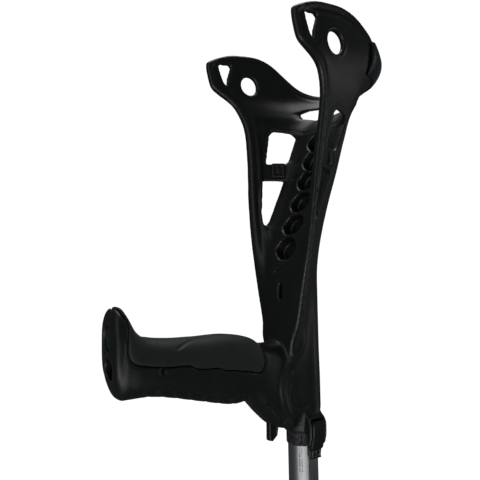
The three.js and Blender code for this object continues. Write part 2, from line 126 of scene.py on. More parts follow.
def blend(tree, amount, first, second):
    """A colour between two, given as hex colours or sockets, by an amount."""
    ends = [linear(end) if isinstance(end, str) else end for end in (first, second)]
    return add_node(tree, "ShaderNodeMix", {"data_type": "RGBA"}, in_0=amount,
                    in_6=ends[0], in_7=ends[1]).outputs[2]


def between(tree, value, low, high, start=0.0, end=1.0):
    """A value that runs from low to high as another runs from start to end."""
    return add_node(tree, "ShaderNodeMapRange", value=value, in_1=start, in_2=end,
                    in_3=low, in_4=high).outputs["Result"]


def bumps(tree, height, strength, distance, **more):
    """A normal raised by a height."""
    return add_node(tree, "ShaderNodeBump", strength=strength, distance=distance,
                    height=height, **more).outputs[0]


def finish_surface(tree, shader, colour, gloss, relief):
    """Links a colour, a roughness and a normal to a shader."""
    tree.links.new(colour, shader.inputs["Base Color"])
    tree.links.new(gloss, shader.inputs["Roughness"])
    tree.links.new(relief, shader.inputs["Normal"])


def new_object(name, data):
    """An object in the scene that holds this data."""
    made = bpy.data.objects.new(name, data)
    bpy.context.collection.objects.link(made)
    return made


def smooth(shape):
    """Shades every face of a mesh smoothly."""
    shape.polygons.foreach_set("use_smooth", [True] * len(shape.polygons))


def cove():
    """The floor, a wide curve and a tall wall all round, as one turned sheet."""
    flat, bend, tall = 4, 2, 9
    profile = [(0, 0), (2.2, 0), (flat, 0)]
    profile += [(flat + bend * math.sin(a), bend - bend * math.cos(a))
                for a in np.linspace(0.1, math.pi / 2, 12)]
    profile += [(flat + bend, tall)]
    mesh = bmesh.new()
    edges = [mesh.verts.new((r, 0, z)) for r, z in profile]
    for low, high in zip(edges, edges[1:]):
        mesh.edges.new((low, high))
    bmesh.ops.spin(mesh, geom=mesh.verts[:] + mesh.edges[:], cent=(0, 0, 0), axis=(0, 0, 1),
                   angle=2 * math.pi, steps=96, use_merge=True)
    bmesh.ops.remove_doubles(mesh, verts=mesh.verts, dist=1e-5)
    bmesh.ops.recalc_face_normals(mesh, faces=mesh.faces)
    sheet = bpy.data.meshes.new("cove")
    mesh.to_mesh(sheet)
    mesh.free()
    smooth(sheet)
    made = new_object("cove", sheet)
    material, tree, shader, place = new_material("white_paper_cove")
    tone = add_node(tree, "ShaderNodeValToRGB", in_0=noise(tree, place, 900.0, 3.0))
    tone.color_ramp.elements[0].color = linear("#f2f2f2")
    tone.color_ramp.elements[1].color = linear("#f8f8f8")
    tree.links.new(tone.outputs["Color"], shader.inputs["Base Color"])
    shader.inputs["Roughness"].default_value = 0.9
    shader.inputs["Emission Color"].default_value = linear("#ffffff")
    shader.inputs["Emission Strength"].default_value = 1.0
    sheet.materials.append(material)
    made.visible_diffuse = False
    made.visible_glossy = False
    made.visible_shadow = False
    made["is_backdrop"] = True


def soft_box(name, place, target, size, watts):
    """A rectangular area light at a place, turned towards a target."""
    light = bpy.data.lights.new(name, "AREA")
    light.shape = "RECTANGLE"
    light.size, light.size_y = size
    light.energy = watts
    lamp = new_object(name, light)
    lamp.location = place
    lamp.rotation_mode = "QUATERNION"
    lamp.rotation_quaternion = (Vector(target) - Vector(place)).to_track_quat("-Z", "Y")
    lamp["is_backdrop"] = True


cove()
soft_box("light_top", (0.1, 0.25, 1.95), (0, 0, 0.95), (0.9, 0.7), 5)
soft_box("light_right", (1.05, -0.5, 0.95), (0, 0, 0.95), (0.24, 0.9), 0.7)
soft_box("light_left", (-1.1, -0.35, 1.3), (0, 0, 0.9), (0.5, 1.1), 1.4)
soft_box("light_low", (-0.8, -0.85, 0.2), (0, 0, 0.7), (1.7, 0.5), 6)
world = bpy.data.worlds.new("sky")
world.use_nodes = True
world.node_tree.nodes["Background"].inputs["Color"].default_value = linear("#dfe3e8")
world.node_tree.nodes["Background"].inputs["Strength"].default_value = 0.07
bpy.context.scene.world = world

# ---------------------------------------------------------------------------------------------
# Upper frame
# One injection moulding in black glass-filled nylon: cuff, trough, handle core and tube socket.
# It is shaped as a field of distances in millimetres, h being the height above the socket's mouth,
# and its skin is drawn where the field is zero, so that every edge has a moulded round.
# ---------------------------------------------------------------------------------------------
MM = 0.001
pivot = next(j for j in frame["record"]["behaviour"]["joints"] if j["name"] == "lever_open")["pos_m"]
mouth = pivot[2] / MM - 6


def table(rows):
    """Rows of [station, values...], read with smooth slopes at any stations."""
    rows = np.array(rows, float)
    stations, values = rows[:, 0], rows[:, 1:]
    slopes = np.gradient(values, stations, axis=0)

    def read(at):
        at = np.clip(np.asarray(at, float), stations[0], stations[-1])
        i = np.clip(np.searchsorted(stations, at) - 1, 0, len(stations) - 2)
        run = stations[i + 1] - stations[i]
        t = (at - stations[i]) / run
        a, b, c, d = 2 * t**3 - 3 * t**2 + 1, t**3 - 2 * t**2 + t, 3 * t**2 - 2 * t**3, t**3 - t**2
        return [a * v[i] + b * run * s[i] + c * v[i + 1] + d * run * s[i + 1]
                for v, s in zip(values.T, slopes.T)]

    return read


def join(a, b, soft):
    """Two fields together, with a fillet about as wide as soft where they meet."""
    near = np.maximum(soft - np.abs(a - b), 0) / soft
    return np.minimum(a, b) - near * near * soft / 4


def keep(a, b, soft):
    """Where both fields are solid, with the shared edge rounded."""
    return -join(-a, -b, soft)


def cut(a, b, soft):
    """The first field without the second, with the new edge rounded."""
    return keep(a, -b, soft)


def rounded(a, b, radius):
    """Where both fields are solid, with a corner of a true radius."""
    p, q = a + radius, b + radius
    return np.minimum(np.maximum(p, q), 0) + np.hypot(np.maximum(p, 0), np.maximum(q, 0)) - radius


def hump(distance, half):
    """1 at distance 0, falling smoothly to 0 at half."""
    t = np.clip(np.abs(distance) / half, 0, 1)
    return (1 - t * t) ** 2


def fade(value, start, end):
    """0 before start and 1 after end, smoothly."""
    t = np.clip((value - start) / (end - start), 0, 1)
    return t * t * (3 - 2 * t)


def smooth_line(points, steps=6, closed=True):
    """A curve through the points, as more points."""
    p = np.array(points, float)
    p = np.vstack([p[-1], p, p[:2]]) if closed else np.vstack([2 * p[0] - p[1], p, 2 * p[-1] - p[-2]])
    out = []
    for a, b, c, d in zip(p, p[1:], p[2:], p[3:]):
        for t in np.arange(steps) / steps:
            out.append(0.5 * (2 * b + (c - a) * t + (2 * a - 5 * b + 4 * c - d) * t**2
                              + (3 * b - a - 3 * c + d) * t**3))
    return np.array(out if closed else [*out, p[-2]])


def off_line(points, *at, closed=False):
    """Distance from a chain of points to every place of a grid given by its coordinates."""
    points = np.asarray(points, float)
    ends = np.roll(points, -1, axis=0) if closed else points[1:]
    best = np.inf
    for a, b in zip(points, ends):
        run = b - a
        t = sum((c - p) * r for c, p, r in zip(at, a, run)) / max(run @ run, 1e-9)
        t = np.clip(t, 0, 1)
        best = np.minimum(best, sum((c - p - r * t) ** 2 for c, p, r in zip(at, a, run)))
    return np.sqrt(best)


def in_outline(points, across, up):
    """Signed distance to a closed outline in a plane, negative inside it."""
    inside = np.zeros(np.broadcast(across, up).shape, bool)
    for (a0, u0), (a1, u1) in zip(points, np.roll(points, -1, axis=0)):
        if u0 != u1:
            inside ^= ((u0 > up) != (u1 > up)) & (across < (a1 - a0) * (up - u0) / (u1 - u0) + a0)
    return off_line(points, across, up, closed=True) * np.where(inside, -1, 1)


def grid(low, high, step):
    """Three open axes of a grid of places, for fields."""
    axes = [np.arange(a, b + step, step, dtype=np.float32) for a, b in zip(low, high)]
    return axes[0][:, None, None], axes[1][None, :, None], axes[2][None, None, :]


def skin(name, field, axes, material, floor=0.0):
    """The smooth mesh along a field's zero level, as an object in metres, floor being h = 0."""
    field = field.astype(np.float32)
    shape = np.array(field.shape)
    cells = shape - 1
    total, count = np.zeros((cells.prod(), 3)), np.zeros(cells.prod())
    quads = []
    strides = np.array([cells[1] * cells[2], cells[2], 1])
    for axis in range(3):
        first = np.take(field, range(shape[axis] - 1), axis)
        second = np.take(field, range(1, shape[axis]), axis)
        edge = np.argwhere((first < 0) != (second < 0))
        inward = first[tuple(edge.T)] < 0
        share = first[tuple(edge.T)] / (first[tuple(edge.T)] - second[tuple(edge.T)])
        point = edge.astype(float)
        point[:, axis] += share
        b, c = (axis + 1) % 3, (axis + 2) % 3
        corners = []
        for step_b, step_c in ((0, 0), (1, 0), (1, 1), (0, 1)):
            cell = edge.copy()
            cell[:, b] -= step_b
            cell[:, c] -= step_c
            index = cell @ strides
            corners.append(index)
            count += np.bincount(index, minlength=len(count))
            for k in range(3):
                total[:, k] += np.bincount(index, point[:, k], minlength=len(count))
        ring = np.stack(corners, 1)
        ring[~inward] = ring[~inward][:, ::-1]
        quads.append(ring)
    used = np.flatnonzero(count)
    number = np.zeros(len(count), np.int64)
    number[used] = np.arange(len(used))
    place = total[used] / count[used, None]
    low = np.array([a.flat[0] for a in axes])
    step = np.array([a.flat[1] - a.flat[0] for a in axes])
    place = (low + place * step + np.array([0, 0, floor])) * MM
    mesh = bpy.data.meshes.new(name)
    mesh.from_pydata(place, [], number[np.concatenate(quads)])
    smooth(mesh)
    mesh.materials.append(material)
    return new_object(name, mesh)


def moulded_plastic():
    """Black glass-filled nylon from a spark-eroded mould: a satin, finely pebbled skin that goes
    slightly greyer and smoother on sharp edges, partly as wear and partly as a painted highlight, so
    that rims show as thin light lines."""
    material, tree, shader, place = new_material("moulded_black_nylon")
    flow = noise(tree, place, 28.0, 4.0, roughness=0.55)
    pebble = noise(tree, place, 1500.0, 2.0)
    edge = add_node(tree, "ShaderNodeNewGeometry").outputs["Pointiness"]
    # sharp edges found by pointiness: partly wear, partly a painted highlight that draws the rims as
    # light lines
    edge_wear_and_highlight = between(tree, edge, 0.0, 1.0, 0.505, 0.56)
    tone = blend(tree, flow, "#0e100f", "#151817")
    # painted highlight and wear: the colour is lightened on sharp edges
    rubbed_and_highlit_tone = blend(tree, edge_wear_and_highlight, tone, "#222625")
    gloss = between(tree, flow, 0.36, 0.47, 0.3, 0.7)
    polished = add_node(tree, "ShaderNodeMath", {"operation": "MULTIPLY_ADD"},
                        in_0=edge_wear_and_highlight, in_1=-0.08, in_2=gloss)
    relief = bumps(tree, pebble, 0.12, 0.0002)
    finish_surface(tree, shader, rubbed_and_highlit_tone, polished.outputs[0], relief)
    shader.inputs["IOR"].default_value = 1.53
    return material


black_nylon = moulded_plastic()

# one row for each level: h, half width at the front, back of the skin, half width there, corner
outer_skin = table([
    [40, 13.4, 13.6, 13.4, 12.8], [62, 16.1, 13.6, 13.4, 12.8], [80, 20.4, 13.8, 13.6, 12.8],
    [105, 26.2, 15, 14.6, 12.4], [135, 33.7, 17.8, 16.8, 12], [165, 39.3, 23.2, 20.6, 12],
    [190, 42.6, 28.2, 25, 12], [215, 46.3, 34, 28.8, 13], [236, 49.8, 41, 33, 16],
    [250, 51.9, 50, 40, 23], [263, 53.8, 62, 49, 37], [282, 54.2, 67, 51.2, 41],
    [306, 54.5, 68.5, 51.8, 42]])
# h, front face of the trough's floor, corner where the floor meets the walls
hollow = table([
    [62, -30, 5], [84, -21, 5], [108, -18, 5], [134, -12.5, 6], [160, -1.5, 7], [190, 11.5, 8],
    [215, 20.5, 9], [236, 30.5, 12], [250, 44, 19], [263, 57, 33], [282, 61.8, 37],
    [306, 62.8, 38]])
front_x, wall_thickness = -18, 4.2
far_out = 30  # a distance that counts as well outside, where a cut has no say
side_outline = [
    (-17, 40), (-23, 64), (-20.6, 80), (-20.4, 100), (-20, 120), (-19.3, 145), (-18.2, 175),
    (-16.2, 205), (-15.4, 228), (-17, 240), (-21.5, 250.5), (-27, 256), (-34.5, 260.5),
    (-41.5, 265.5), (-44.5, 273), (-46.3, 283), (-44, 287.5), (-28, 294.8), (-12, 297.6), (2, 298),
    (15, 294.5), (28, 286.5), (42, 275), (56, 267), (72, 263), (95, 263), (95, 20), (-8, 20)]
wing_triangle = [(-36, 284), (-33.5, 286.3), (-25.5, 286.8), (-24, 285), (-27, 276), (-28, 268.5),
                 (-31.5, 272)]
upper_window = [(-1.8, 204.4), (4, 228.5), (7.5, 231.6), (21, 230.3), (24.2, 226.5), (15.5, 206.8),
                (13, 204.4)]
lower_window = [(-6.2, 189), (-8.6, 178), (-10.8, 163), (-10.8, 154.5), (-9, 152.5), (-6, 156),
                (1, 172), (9, 189)]
half_moon = [(-34.5, 250), (-30.5, 245), (-23, 243), (-16.5, 240.8), (0, 239.2), (16.5, 240.8),
             (23, 243), (30.5, 245), (34.5, 250), (31, 253), (12, 253.4), (-12, 253.4), (-31, 253)]

# x, underside, top and half width of the handle
handle = table([
    [-150, 70, 88, 7], [-148.6, 58, 93.6, 11.5], [-146, 48, 97.2, 13.8], [-143, 43.8, 98.4, 14.8],
    [-139.5, 43.4, 94, 15.2], [-135, 43.4, 85.5, 15.5], [-130, 43.4, 80.5, 15.5],
    [-123, 42.8, 78.4, 15.5], [-110, 40.2, 76.6, 15.5], [-90, 35, 75.8, 15.9],
    [-65, 29, 75.2, 15.9], [-50, 27.5, 72, 15.3], [-40, 17, 67, 14.6], [-30, 8, 66.5, 13.6],
    [-18, 4, 67, 13], [-6, 1.2, 67, 12]])
pad_outline = smooth_line([
    (-139.5, 104), (-140.5, 90), (-141.5, 78), (-141.5, 71), (-137, 65.2), (-121.6, 62),
    (-112, 61), (-107.6, 61), (-100.7, 60.2), (-96.5, 57.8), (-88, 57), (-82, 56.7), (-76, 54.3),
    (-71.4, 54), (-65.2, 52.6), (-56, 51), (-47.4, 49.5), (-43.3, 55.8), (-43.5, 62), (-45, 70),
    (-47, 80), (-47, 104)], 3)


def handle_field(x, y, h, drop=0.0, narrow=0.0):
    """The handle's rounded section, its top lowered and its sides drawn in for the core."""
    low, high, half = handle(x)
    tall, middle, wide = (high - drop - low) / 2, (low + high - drop) / 2, half - narrow
    ratio = ((np.abs(y) / wide) ** 2.9 + (np.abs(h - middle) / tall) ** 2.9) ** (1 / 2.9)
    return keep((ratio - 1) * np.minimum(tall, wide), -149.8 - x, 3)


def wall_field(x, y, h):
    """The trough's outer wall, and how deep a place is behind the outer skin's corner."""
    front_half, rear, rear_half, corner = outer_skin(h)
    spread = (front_half - rear_half) / (rear - corner - front_x)
    wall = (np.abs(y) - rear_half - spread * (rear - corner - x)) / np.hypot(1, spread)
    return wall, x - rear, corner


def trough_field(x, y, h):
    """Walls, floor and cuff, with beaded rims, windows and openings."""
    wall, rear, corner = wall_field(x, y, h)
    floor, floor_corner = hollow(h)
    side = in_outline(smooth_line(side_outline, 5), x, h)
    rim = -side
    bead = 0.9 * hump(rim - 2.2, 2.6) - 0.55 * hump(rim - 5.6, 1.3) + 0.45 * hump(rim - 8, 1.9)
    bead = bead * fade(h, 66, 86)
    outer = rounded(wall - bead, rear, corner)
    # inside, the wall is thinner beyond its rim, beside the windows
    thin = 1.6 * fade(rim, 9, 10.5) * fade(h, 132, 148) * fade(-h, -246, -236)
    inner = rounded(wall + wall_thickness + 0.8 * bead - thin, x - floor, floor_corner)
    body = keep(cut(outer, inner, 2.4), side, 3.2)
    # an undercut ring stands round each window, and its edge is rounded
    for outline, soft in ((wing_triangle, 1.4), (upper_window, 1.8), (lower_window, 1.8)):
        window = in_outline(np.array(outline), x, h)
        window = np.where(x < 34, window, far_out)
        body = cut(body + 0.5 * hump(window - 3.2, 1.2), window, soft)
    hole = np.hypot(x + 7, h - 272) - 7.6
    body = cut(body - 0.5 * hump(hole - 1.6, 1.7), hole, 2.2)
    arch = np.where(x > 20, in_outline(np.array(half_moon), y, h), far_out)
    return cut(body, arch, 2)


pocket_heights = [134, 152, 169.5, 187, 203.5, 219]
pocket_depth = 8
floor_lean = math.radians(21.5)
housing_top = 122  # just clear of the leg's cap when the leg is pushed right in


def pocket_field(x, y, h, height):
    """One rounded lozenge sunk deep in the trough's floor, with a little draft."""
    floor = hollow(height)[0]
    along = (h - height) * math.cos(floor_lean) + (x - floor) * math.sin(floor_lean)
    depth = (x - floor) * math.cos(floor_lean) - (h - height) * math.sin(floor_lean)
    outline = smooth_line([(-11.4, 0), (-5.5, 7.7), (5.5, 7.7), (11.4, 0), (5.5, -7.7),
                           (-5.5, -7.7)], 4)
    well = keep(in_outline(outline, y, along) + 0.04 * depth, depth - pocket_depth, 0.8)
    return np.where(np.abs(depth) < 14, well, far_out)


def box_field(*sides):
    """A block given by (distance from its middle, half its size) along each axis it ends on."""
    field = -np.inf
    for offset, half in sides:
        field = np.maximum(field, np.abs(offset) - half)
    return field


def grip_field(x, y, h):
    """The handle: full outside the pad, and a narrower core under it."""
    whole = handle_field(x, y, h)
    core = handle_field(x, y, h, 4, 2.6)
    pad_zone = in_outline(pad_outline, x, h)
    low = handle(x)[0]
    fold = 0.8 * hump(x + 143.6 - 0.05 * (h - 78), 1.5) * fade(h, 56, 66) * (h < 97)
    fold = fold - 0.5 * hump(x + 147.2 - 0.05 * (h - 78), 1.4) * fade(h, 52, 60)
    whole = whole + fold * (np.abs(y) > 2)
    # deep notches under the handle leave a row of short ribs along each lower edge
    phase = (x + 130.8) / 10.2
    gap = np.abs(phase - np.round(phase)) * 10.2
    edge = h - low
    notch = fade(gap, 1, 2) * fade(edge, 0.4, 1.6) * fade(-edge, -6.6, -5.4)
    whole = whole + 4 * notch * (x > -137) * (x < -55) * (np.abs(y) > 7)
    cell = np.maximum(np.maximum(3.7 - gap, np.abs(y) - 9.5), edge - 5.5)
    cell = np.where((x > -131) & (x < -54), cell, far_out)
    whole = cut(whole, cell, 0.8)
    # two grooves run down the slanted web under the handle
    for line, deep in (([(-40, 26.5), (-24.5, 10.5)], 1.3), ([(-44, 22.6), (-32, 10.2)], 0.9)):
        whole = whole + deep * hump(off_line(line, x, h), 1.7) * (np.abs(y) > 7)
    grip = join(cut(whole, pad_zone, 1), core, 0.6)
    # a bore in the finger stop, and a shallow oval above it
    end = x + 150
    oval = (np.hypot(y / 5.8, (h - 80) / 7.8) - 1) * 6.4
    grip = cut(grip, np.maximum(oval, x + 145.6), 1.2)
    grip = cut(grip, np.maximum(np.hypot(y, h - 62) - 6.4, x + 108), 1.6)
    pin = np.hypot(x + 120, h - 59.5)
    grip = grip + 0.35 * hump(pin - 3.0, 0.9)
    grip = cut(grip, pin - 1.65, 0.2)
    return grip


def housing_field(x, y, h):
    """The round housing of the leg, with fine ribs just above the bush."""
    housing = np.maximum(np.hypot(x, y) - 13.6, np.maximum(-h, h - housing_top))
    ribs = 0.45 * np.cos((h - 3) * 2 * np.pi / 2.8) * hump(h - 8.5, 6)
    return housing + ribs * fade(-x, 2, 7)


def ear_field(x, y, h):
    """Two ears that carry the lever's pin, and the hood between them."""
    ear = in_outline(smooth_line([(-10.5, 15), (-14, 13), (-17.6, 9.5), (-18.6, 4), (-18, -3),
                                  (-16.6, -7.5), (-15, -8.8), (-13.2, -8.4), (-12.9, -0.3),
                                  (-10.5, -0.3)], 3), y, h)
    hood = keep(ear, np.maximum(np.abs(x) - 7.6, 10.4 - h), 0.5)
    ear = keep(ear, np.abs(np.abs(x) - 6.9) - 0.85, 0.6)
    return np.where(y < -9.5, np.minimum(ear, hood), far_out)


def frame_field(x, y, h):
    """The whole moulding."""
    body = trough_field(x, y, h)
    for height in pocket_heights:
        body = cut(body, pocket_field(x, y, h, height), 0.5)
    # a slot and a short diagonal score on the front of the column
    body = cut(body, np.maximum(box_field((y, 2.2), (h - 102.5, 5.5)), x + 13), 0.7)
    score = off_line([(8.5, 116.8), (-4.5, 122.3)], y, h)
    body = cut(body, np.maximum(score - 0.9, x + 14.5), 0.6)
    body = join(body, housing_field(x, y, h), 1)
    body = join(body, keep(grip_field(x, y, h), x - 2, 1), 3)
    dent = np.maximum(box_field((x + 21.5, 3.4), (h - 12, 3.8)), 10.4 - np.abs(y))
    body = cut(body, dent, 1)
    # a raised bead turns from each rim down the handle's root to the mouth
    bead = smooth_line([(-12, 12.6, 80), (-10.5, 14, 67.5), (-13.5, 14, 60.5), (-21, 13.6, 53),
                        (-26.5, 13.2, 45), (-29, 13, 36.4), (-27, 12.2, 26.4), (-22, 10.4, 17),
                        (-17, 8.6, 9)], 4, closed=False)
    body = join(body, off_line(bead, x, np.abs(y), h) - 2.2, 2.4)
    # a sunk panel with a rounded foot on each side of the socket
    panel = in_outline(smooth_line([(-20.5, 38), (-22.5, 29), (-19, 22), (-13, 17), (-4, 16.2), (8, 19),
                                    (8.5, 32), (8.5, 60), (8.5, 90), (6, 104), (-6, 104),
                                    (-8, 80), (-9, 60), (-15, 48)], 4), x, h)
    sunk = 0.4 + 0.5 * fade(h, 62, 80) * fade(-x, -2, 4)
    body = body + sunk * fade(-panel, 0, 1.5) * (np.abs(y) > 7)
    body = keep(body, -h, 0.8)
    body = join(body, ear_field(x, y, h), 0.8)
    # the leg's bore, and the room for the hook
    body = cut(body, np.maximum(np.hypot(x, y) - 11.3, h - housing_top - 0.4), 0.3)
    hook_room = np.maximum(box_field((x + 28, 4.9), (y, 2.9)), h - 16.3)
    return cut(body, hook_room, 0.6)


def as_distance(field, step):
    """A field scaled so that it grows by one for each millimetre near its zero level."""
    slopes = np.gradient(field, step)
    return field / np.clip(np.sqrt(sum(s * s for s in slopes)), 0.35, 3)


frame_step = 1.16
axes = grid((-153, -58.5, -11.5), (75.5, 58.5, 301.5), frame_step)
upper = skin("upper_frame_skin", frame_field(*axes), axes, black_nylon, mouth)
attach(upper, "upper")
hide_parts("upper_frame")

# ---------------------------------------------------------------------------------------------
# Grip pad
# A soft thermoplastic elastomer skin clipped over the top and sides of the handle's core.
# Its lower edge waves under the fingers, and a score line marks off the palm's rest.
# ---------------------------------------------------------------------------------------------
def soft_elastomer():
    """Matt soft-touch elastomer: a cool dark grey, faintly mottled by handling, with a short
    velvety sheen at glancing angles and a fine leather-like grain."""
    material, tree, shader, place = new_material("soft_touch_elastomer")
    mottle = noise(tree, place, 90.0, 5.0, roughness=0.6)
    tone = blend(tree, mottle, "#191c1d", "#252929")
    gloss = between(tree, mottle, 0.5, 0.66, 0.3, 0.7)
    grain = add_node(tree, "ShaderNodeTexVoronoi", vector=place, scale=900.0)
    relief = bumps(tree, grain.outputs["Distance"], 0.25, 0.0002)
    soft = bumps(tree, mottle, 0.3, 0.0005, normal=relief)
    finish_surface(tree, shader, tone, gloss, soft)
    shader.inputs["Sheen Weight"].default_value = 0.12
    shader.inputs["Sheen Roughness"].default_value = 0.5
    shader.inputs["IOR"].default_value = 1.5
    return material


def pad_field(x, y, h):
    """The pad: the handle's outside less its core, inside the pad's wavy outline."""
    zone = in_outline(pad_outline, x, h)
    pad = keep(handle_field(x, y, h) - 0.15, zone + 0.35, 1.6)
    palm = smooth_line([(-109, 13, 71.5), (-103, 10.6, 73.6), (-97.5, 8, 74.9), (-89, 4.5, 75.6),
                        (-80, 1, 75.7), (-72, 0, 75.6)], 4, closed=False)
    pad = pad + 0.8 * hump(off_line(palm, x, np.abs(y), h), 1.6)
    return cut(pad, handle_field(x, y, h, 3.7, 2.3), 0.4)


axes = grid((-146, -17.4, 41), (-36, 17.4, 103), 0.75)
pad = skin("grip_pad_skin", pad_field(*axes), axes, soft_elastomer(), mouth)
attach(pad, "upper")
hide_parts("grip_pad")

# ---------------------------------------------------------------------------------------------
# Cross pin of the grip
# A blackened steel pin pressed through the handle; each end lies inside a shallow moulded ring.
# ---------------------------------------------------------------------------------------------
def spun(name, profile, material, sides=64, place=Matrix.Identity(4)):
    """A closed profile of (radius, z) points in millimetres turned about Z, then put in place."""
    mesh = bmesh.new()
    ring = [mesh.verts.new((r * MM, 0, z * MM)) for r, z in profile]
    lines = [mesh.edges.new(pair) for pair in zip(ring, ring[1:] + ring[:1])]
    bmesh.ops.spin(mesh, geom=ring + lines, cent=(0, 0, 0), axis=(0, 0, 1), angle=2 * math.pi,
                   steps=sides, use_merge=True)
    bmesh.ops.remove_doubles(mesh, verts=mesh.verts, dist=1e-7)
    bmesh.ops.dissolve_degenerate(mesh, edges=mesh.edges, dist=1e-7)
    bmesh.ops.recalc_face_normals(mesh, faces=mesh.faces)
    mesh.transform(place)
    shape = bpy.data.meshes.new(name)
    mesh.to_mesh(shape)
    mesh.free()
    smooth(shape)
    shape.set_sharp_from_angle(angle=math.radians(38))
    shape.materials.append(material)
    return new_object(name, shape)


def metal(name, light, dark, roughness, scale):
    """A metal surface with faint blotches of handling and a fine random grain."""
    material, tree, shader, place = new_material(name)
    stretch = add_node(tree, "ShaderNodeMapping", vector=place)
    stretch.inputs["Scale"].default_value = scale
    grain = noise(tree, stretch.outputs[0], 1.0, 3.0)
    blotch = noise(tree, place, 45.0, 3.0)
    tone = blend(tree, blotch, dark, light)
    gloss = between(tree, grain, roughness * 0.85, roughness * 1.2, 0.3, 0.7)
    relief = bumps(tree, grain, 0.2, 0.0001)
    finish_surface(tree, shader, tone, gloss, relief)
    shader.inputs["Metallic"].default_value = 1
    return material


def rounded_rod(radius, half, edge=0.3):
    """The profile of a pin along Z with broken edges."""
    return [(0, -half), (radius - edge, -half), (radius, -half + edge), (radius, half - edge),
            (radius - edge, half), (0, half)]


def lying(node, axis):
    """The place of a rod whose middle is the CAD node's middle, turned to lie along an axis."""
    low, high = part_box(node)
    turned_to = Vector((0, 0, 1)).rotation_difference(Vector(axis)).to_matrix().to_4x4()
    return Matrix.Translation((Vector(low) + Vector(high)) / 2) @ turned_to


black_steel = metal("blackened_steel", "#343436", "#262627", 0.5, (900, 900, 900))
low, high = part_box("grip_pin")
pin = spun("grip_pin_steel", rounded_rod(1.6, (high[1] - low[1]) / 2 / MM), black_steel, 32,
           lying("grip_pin", (0, 1, 0)))
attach(pin, "upper")
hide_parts("grip_pin")

# ---------------------------------------------------------------------------------------------
# Reflectors
# Dark blue-green acrylic: a band glued round the back of the cuff, and an oval lens in the
# handle's end. Their inner face is moulded in small prisms, seen through a glossy front.
# ---------------------------------------------------------------------------------------------
def prismatic_acrylic():
    """Tinted reflector: little hexagonal prisms under a clear, hard gloss, so that it glints in
    small facets against a dark teal ground."""
    material, tree, shader, place = new_material("prismatic_reflector_acrylic")
    prism = add_node(tree, "ShaderNodeTexVoronoi", {"feature": "F1"}, vector=place, scale=520.0,
                     randomness=0.15)
    tone = blend(tree, prism.outputs["Distance"], "#14282c", "#0a1517")
    dust = noise(tree, place, 160.0, 3.0)
    gloss = between(tree, dust, 0.16, 0.34)
    relief = bumps(tree, prism.outputs["Distance"], 0.22, 0.0004)
    finish_surface(tree, shader, tone, gloss, relief)
    shader.inputs["Specular IOR Level"].default_value = 0.35
    shader.inputs["Coat Weight"].default_value = 0.15
    shader.inputs["Coat Roughness"].default_value = 0.12
    shader.inputs["IOR"].default_value = 1.49
    return material


def band_field(x, y, h):
    """A strip 2.2 thick standing 0.3 off the cuff's back, its top following the cuff's edge."""
    wall, rear, corner = wall_field(x, y, h)
    skin_off = rounded(wall, rear, corner)
    strip = np.abs(skin_off - 1.4) - 1.1
    top = in_outline([(20, 200), (20, 291), (30, 283.2), (42, 274.2), (56, 267.2), (90, 262.7),
                      (90, 200)], x, h)
    edge = np.maximum(np.maximum(30.2 - x, 258.2 - h), np.maximum(top, h - 280.8))
    return keep(strip, edge, 1.2)


reflector = prismatic_acrylic()
axes = grid((28, -57, 256), (74, 57, 283), 0.6)
band = skin("rear_reflector_lens", as_distance(band_field(*axes), 0.6), axes, reflector, mouth)
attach(band, "upper")
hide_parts("rear_reflector")


def lens_field(x, y, h):
    """A domed oval lens with a rounded rim."""
    low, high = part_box("front_reflector")
    middle, half = (low[0] + high[0]) / 2 / MM, (high[0] - low[0]) / 2 / MM
    oval = (np.hypot(y / 5.5, (h - 80) / 7.5) - 1) * 6
    face = np.abs(x - middle) - half
    return keep(oval, face + 0.02 * (y * y + (h - 80) ** 2) * (x < middle) * 0.6, 0.9)


axes = grid((-151, -7, 71), (-144, 7, 89), 0.35)
lens = skin("front_reflector_lens", lens_field(*axes), axes, reflector, mouth)
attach(lens, "upper")
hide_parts("front_reflector")

# ---------------------------------------------------------------------------------------------
# Side inserts
# Two glossy black blocks pressed through the bars between the side windows.
# Each inner face has a raised frame round a U-shaped sinking.
# ---------------------------------------------------------------------------------------------
def gloss_plastic():
    """Polished black styrene: near-mirror faces with faint swirls from wiping."""
    material, tree, shader, place = new_material("polished_black_plastic")
    swirl = noise(tree, place, 240.0, 4.0, distortion=1.5)
    tone = blend(tree, swirl, "#1e2021", "#2e3032")
    gloss = between(tree, swirl, 0.1, 0.24)
    relief = bumps(tree, swirl, 0.05, 0.0002)
    finish_surface(tree, shader, tone, gloss, relief)
    shader.inputs["IOR"].default_value = 1.59
    return material


def insert_field(x, y, h):
    """One block, its y axis square to the slanting bar and its inner face at low y."""
    block = keep(np.abs(x) - 5.3, keep(np.abs(h) - 5.8, np.abs(y + 2.4) - 3.8, 1), 1)
    sinking = keep(np.abs(x) - 3.4, np.abs(h + 0.2) - 3.9, 1.2)
    tongue = keep(np.abs(x) - 0.9, -h - 1.4, 0.4)
    block = cut(block, np.maximum(cut(sinking, tongue, 0.4), y + 5.0), 0.4)
    outside = keep(np.abs(x) - 3.6, np.abs(h) - 4.1, 1.2)
    return cut(block, np.maximum(outside, 0.8 - y), 0.4)


polished = gloss_plastic()
axes = grid((-6, -7.5, -6.6), (6, 2.4, 6.6), 0.3)
block_field = insert_field(*axes)
front_half, rear, rear_half, corner = outer_skin(198)
spread = (front_half - rear_half) / (rear - corner - front_x)
seat = rear_half + spread * (rear - corner - 6.5)
for side, ending in ((-1, "left"), (1, "right")):
    block = skin(f"side_insert_{ending}_block", block_field, axes, polished)
    placed = Matrix.Translation((6.5 * MM, seat * MM, (mouth + 198) * MM))
    placed = placed @ Matrix.Rotation(-math.atan(spread), 4, "Z")
    block.data.transform(placed)
    if side < 0:
        block.data.transform(Matrix.Scale(-1, 4, (0, 1, 0)))
        block.data.flip_normals()
    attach(block, "upper")
    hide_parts(f"side_insert_{ending}")

